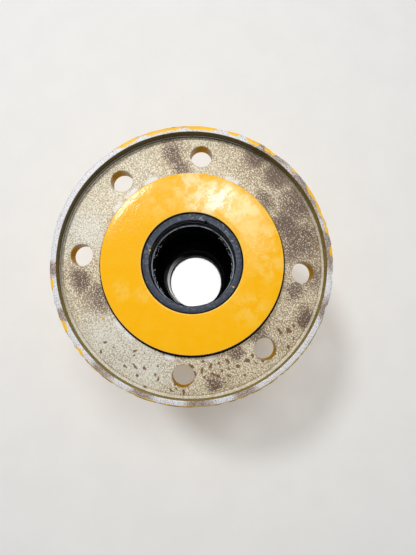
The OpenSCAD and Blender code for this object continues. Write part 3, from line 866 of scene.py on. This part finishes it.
def ringOfBeads(name, sizes, height, finish, arcs=None):
    # Small flattened beads round the axis at one height, each a little different
    sizes = {key: value if isinstance(value, int) else value * mm for key, value in sizes.items()}
    tree, given, end = newTree(name, sizes)
    size = given.outputs

    def vectors(how, values):
        return treeNode(tree, "ShaderNodeVectorMath", values, operation=how).outputs[0]

    circle = treeNode(tree, "GeometryNodeMeshCircle", {
        "Vertices": size["Count"], "Radius": size["Ring Radius"]})
    shift = treeNode(tree, "FunctionNodeRandomValue", {0: (-1, -1, -1), 1: (1, 1, 1), "Seed": size["Seed"]},
                     data_type="FLOAT_VECTOR")
    spread = vectors("SCALE", {0: shift.outputs[0], "Scale": size["Spread"]})
    lift = vectors("ADD", {0: vectors("MULTIPLY", {0: spread, 1: (0, 0, 1.0)}), 1: (0, 0, height * mm)})
    placed = treeNode(tree, "GeometryNodeSetPosition", {"Geometry": circle.outputs[0], "Offset": lift})
    points = onlyArcs(tree, placed.outputs[0], arcs) if arcs else placed.outputs[0]
    bead = treeNode(tree, "GeometryNodeMeshUVSphere", {"Segments": 10, "Rings": 6, "Radius": 1.0})
    stretch = treeNode(tree, "ShaderNodeCombineXYZ", {0: size["Height"], 1: size["Length"], 2: size["Width"]})
    shape = treeNode(tree, "GeometryNodeTransform", {
        "Geometry": bead.outputs["Mesh"], "Scale": stretch.outputs[0]})
    where = treeNode(tree, "GeometryNodeInputPosition").outputs[0]
    outward = vectors("MULTIPLY", {0: where, 1: (1, 1, 0)})
    turned = treeNode(tree, "FunctionNodeAlignRotationToVector", {"Vector": outward}, axis="X")
    grow = treeNode(tree, "FunctionNodeRandomValue", {2: 0.7, 3: 1.15, "Seed": size["Seed"]}, data_type="FLOAT")
    beads = treeNode(tree, "GeometryNodeInstanceOnPoints", {
        "Points": points, "Instance": shape.outputs[0],
        "Rotation": turned.outputs[0], "Scale": grow.outputs[1]})
    closeTree(tree, end, beads.outputs[0], size["Finish"])
    seed = bpy.data.objects.new(name, bpy.data.meshes.new(name))
    scene.collection.objects.link(seed)
    return runTree(seed, tree, sizes, finish)


def makeBeads():
    weld = ringOfBeads("weldSeam", weldSizes, 0.0, finishes["weld"])
    settle(weld, finishes["weld"], "rim", "rim_steel")
    grease = ringOfBeads("gapGrease", greaseSizes, greaseHeight, finishes["grease"])
    settle(grease, finishes["grease"], "axle", "black_rubber")
    drops = ringOfBeads("boreDrops", oilSizes, oilHeight, finishes["oil"], oilArcs)
    settle(drops, finishes["oil"], "axle", "black_rubber")
    print("weld, grease and oil made")


makeRim(finishes["rim"])
makeCollars(finishes["collar"])
makeSeals(finishes["seal"])
makeBore(finishes["bore"])
makeBeads()

# Parts that keep the frame's own shape
keptParts = {
    "bronze": ["roller_bush_outer", "roller_bush_inner"],
    "ground": ["fixed_seal_ring_outer", "fixed_seal_ring_inner", "turning_seal_ring_outer",
               "turning_seal_ring_inner", "collar_lock_ring_outer", "collar_lock_ring_inner", "oil_plug"],
    "copper": ["plug_washer"],
    "rubber": ["fixed_seal_toric_outer", "fixed_seal_toric_inner", "turning_seal_toric_outer",
               "turning_seal_toric_inner", "collar_o_ring_outer", "collar_o_ring_inner"],
}
for finishName, parts in keptParts.items():
    for part in parts:
        refinish(part, finishes[finishName])


# Stage, light and camera
# Lamps are placed across, up and above the lip, in metres
stageSizes = {
    "floorSize": 12.0, "skyLow": 0.88, "skyHigh": 0.2, "dimFrom": 0.25, "dimTo": 0.8,
    "key": (-0.45, 0.57, 1.34), "keyRadius": 0.12, "keyPower": 8.9,
    "sky": (0.15, 0.47, 1.50), "skyRadius": 0.20, "skyPower": 6.2, "skyTint": (1.0, 0.985, 0.965),
    "boreBeam": 1.2, "beamPower": 75.0, "beamAngle": 4.0, "beamBlend": 0.2, "beamRadius": 0.01,
}
cameraSizes = {
    "lens": 25.95, "sensor": 36.0, "clip": (0.01, 50), "eye": (36.2, -20.8, 349.0), "aim": (18.9, 2.0),
    "turn": 139.5,
}


def makeFloor():
    bpy.ops.mesh.primitive_plane_add(size=stageSizes["floorSize"], location=(0, 0, cadLow.z))
    floor = bpy.context.object
    floor.name = "floor"
    f = Finish("floorFinish")
    tone = f.mix(f.fade(f.grain(60.0, 3.0), 0.3, 0.7), shade(250, 250, 249), shade(253, 253, 252))
    floor.data.materials.append(f.finish(Base_Color=tone, Roughness=0.9))


def aimed(thing, at, target, roll=None):
    # Points a light or the camera along -Z at its target; roll is where up lies, in degrees round Z
    forward = (Vector(target) - Vector(at)).normalized()
    if roll is None:
        thing.rotation_euler = forward.to_track_quat("-Z", "Y").to_euler()
        thing.location = at
        return
    up = Vector((math.cos(math.radians(roll)), math.sin(math.radians(roll)), 0))
    right = forward.cross(up).normalized()
    up = right.cross(forward)
    turn = Matrix((right, up, -forward)).transposed().to_4x4()
    thing.matrix_world = Matrix.Translation(Vector(at)) @ turn


def cameraWay(across, up, height):
    # A place given across and up in the camera's own directions, from the roller's axis
    a = math.radians(cameraSizes["turn"])
    upward, rightward = Vector((math.cos(a), math.sin(a))), Vector((math.sin(a), -math.cos(a)))
    flat = upward * up + rightward * across
    return (flat.x, flat.y, height + lipTop * mm)


def areaLight(name, at, target, size, power, colour=(1, 1, 1)):
    data = bpy.data.lights.new(name, "AREA")
    data.shape, data.size, data.energy, data.color = "DISK", size, power, colour
    lamp = bpy.data.objects.new(name, data)
    scene.collection.objects.link(lamp)
    aimed(lamp, at, target)


def makeLights():
    s = stageSizes
    top = (0, 0, lipTop * mm)
    areaLight("overheadLamp", cameraWay(*s["key"]), top, s["keyRadius"] * 2, s["keyPower"])
    areaLight("skyPanel", cameraWay(*s["sky"]), top, s["skyRadius"] * 2, s["skyPower"], s["skyTint"])
    beam = bpy.data.lights.new("boreBeam", "SPOT")
    beam.energy = s["beamPower"]
    beam.spot_size = math.radians(s["beamAngle"])
    beam.spot_blend = s["beamBlend"]
    beam.shadow_soft_size = s["beamRadius"]
    lamp = bpy.data.objects.new("boreBeam", beam)
    lamp.location = (0, 0, s["boreBeam"])
    scene.collection.objects.link(lamp)


def makeSky():
    # A white room, bright towards the horizon and dimmer overhead
    s = stageSizes
    world = bpy.data.worlds.new("softRoom")
    world.use_nodes = True
    tree = world.node_tree
    place = treeNode(tree, "ShaderNodeTexCoord").outputs["Generated"]
    split = treeNode(tree, "ShaderNodeSeparateXYZ", {0: place})
    rise = treeNode(tree, "ShaderNodeMapRange", {
        0: split.outputs[2], 1: s["dimFrom"], 2: s["dimTo"], 3: s["skyLow"], 4: s["skyHigh"]},
        interpolation_type="SMOOTHSTEP")
    tree.links.new(rise.outputs[0], tree.nodes["Background"].inputs["Strength"])
    tree.nodes["Background"].inputs["Color"].default_value = (1, 1, 1, 1)
    scene.world = world


def makeCamera():
    s = cameraSizes
    data = bpy.data.cameras.new("camera")
    data.lens, data.sensor_width, data.sensor_fit = s["lens"], s["sensor"], "AUTO"
    data.clip_start, data.clip_end = s["clip"]
    camera = bpy.data.objects.new("camera", data)
    scene.collection.objects.link(camera)
    eye = (s["eye"][0] * mm, s["eye"][1] * mm, (lipTop + s["eye"][2]) * mm)
    aim = (s["aim"][0] * mm, s["aim"][1] * mm, lipTop * mm)
    aimed(camera, eye, aim, s["turn"])
    scene.camera = camera


makeFloor()
makeLights()
makeSky()
makeCamera()
print("stage ready")
